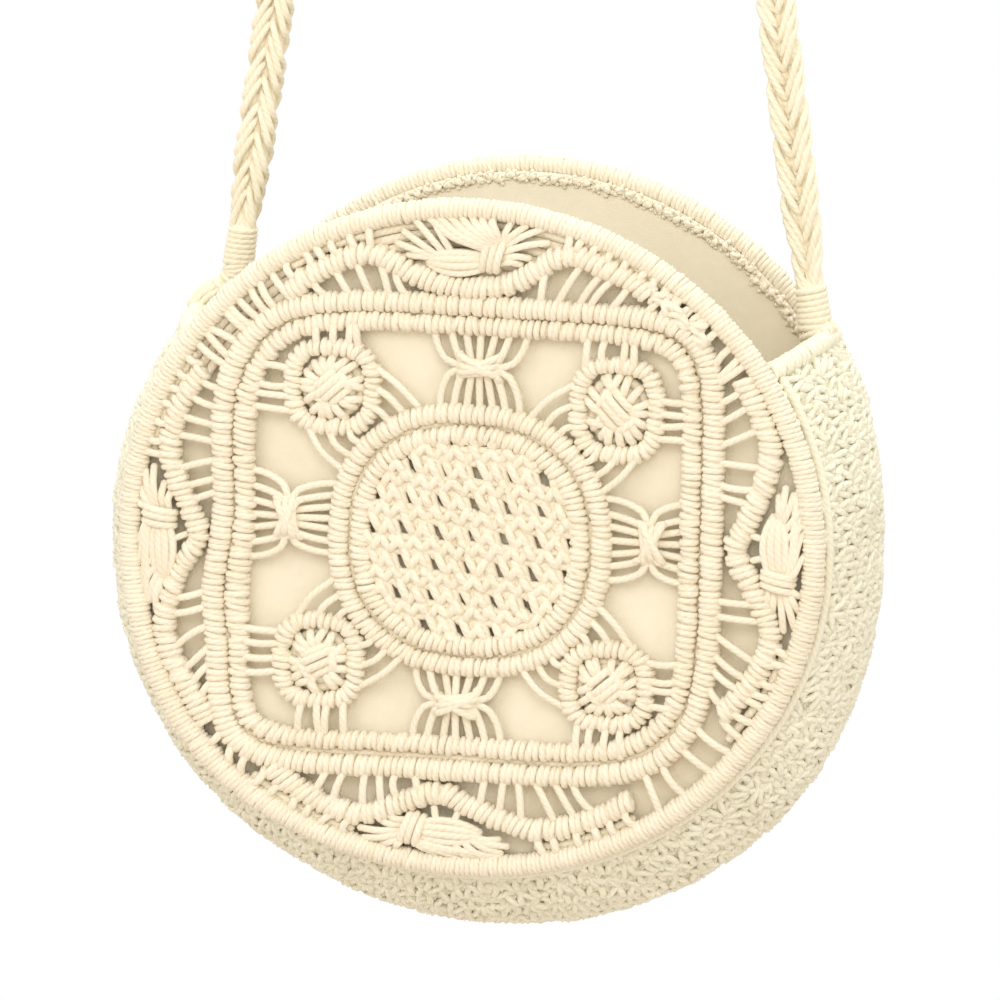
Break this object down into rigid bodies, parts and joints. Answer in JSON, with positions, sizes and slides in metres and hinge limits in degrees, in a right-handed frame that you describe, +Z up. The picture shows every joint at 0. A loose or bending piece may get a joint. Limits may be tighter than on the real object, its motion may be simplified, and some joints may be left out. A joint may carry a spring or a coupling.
{
  "type": "circle bag",
  "caption": "Round knotted-cord crossbody bag: two wrapped hoops with square-and-medallion panels, a soft bulging gusset, an open mouth with a magnetic snap, and a plaited strap.",
  "frame": {"origin": "inside of the strap's top bend, where it rests on the hook that the bag hangs from", "axes": "+Z up, +X to the right of someone facing the front panel, -Y out of the front panel"},
  "size_m": [0.244, 0.0886, 0.705],
  "materials": {
    "cord": "cream cotton cord, knotted",
    "gusset_cord": "cream cotton cord, densely knotted",
    "strap_cord": "cream cotton cord, plaited",
    "lining_cloth": "plain woven cotton",
    "hoop_wire": "painted steel wire",
    "snap_metal": "nickel plate"
  },
  "bodies": {
    "strap": {"strap_foot_left": "strap_cord", "strap_whipping_left": "strap_cord", "strap_run_left": "strap_cord", "strap_foot_right": "strap_cord", "strap_whipping_right": "strap_cord", "strap_run_right": "strap_cord", "strap_crown": "strap_cord"},
    "gusset": {"gusset_band": "gusset_cord", "gusset_lining": "lining_cloth", "gusset_end_roll_left": "gusset_cord", "gusset_end_roll_right": "gusset_cord"},
    "front_panel": {"front_rim_hoop": "hoop_wire", "front_rim_wrap": "cord", "front_frame_outer": "cord", "front_frame_inner": "cord", "front_medallion_outer": "cord", "front_medallion_inner": "cord", "front_centre_net": "cord", "front_rosette_rings": "cord", "front_rosette_berries": "cord", "front_butterfly_knots": "cord", "front_chevron_ridges": "cord", "front_eye_knots": "cord", "front_lining": "lining_cloth", "front_snap_patch": "lining_cloth", "front_snap_stud": "snap_metal"},
    "back_panel": {"back_rim_hoop": "hoop_wire", "back_rim_wrap": "cord", "back_frame_outer": "cord", "back_frame_inner": "cord", "back_medallion_outer": "cord", "back_medallion_inner": "cord", "back_centre_net": "cord", "back_rosette_rings": "cord", "back_rosette_berries": "cord", "back_butterfly_knots": "cord", "back_chevron_ridges": "cord", "back_eye_knots": "cord", "back_lining": "lining_cloth", "back_snap_patch": "lining_cloth", "back_snap_socket": "snap_metal"}
  },
  "joints": [
    {"name": "bag_swing", "type": "hinge", "parent": "strap", "child": "gusset", "pos_m": [0, 0, -0.49032], "axis": [1, 0, 0], "range_deg": [-60, 60]},
    {"name": "mouth_close_front", "type": "hinge", "parent": "gusset", "child": "front_panel", "pos_m": [0, -0.04, -0.6657], "axis": [-1, 0, 0], "range_deg": [0, 9.4], "stiffness_Nm_per_rad": 0.8, "deforming": ["gusset_band", "gusset_lining", "gusset_end_roll_left", "gusset_end_roll_right"]},
    {"name": "mouth_close_back", "type": "hinge", "parent": "gusset", "child": "back_panel", "pos_m": [0, 0.04, -0.6657], "axis": [1, 0, 0], "range_deg": [0, 9.4], "stiffness_Nm_per_rad": 0.8}
  ],
  "couplings": [
    {"joint": "mouth_close_back", "follows": "mouth_close_front", "ratio": 1}
  ]
}
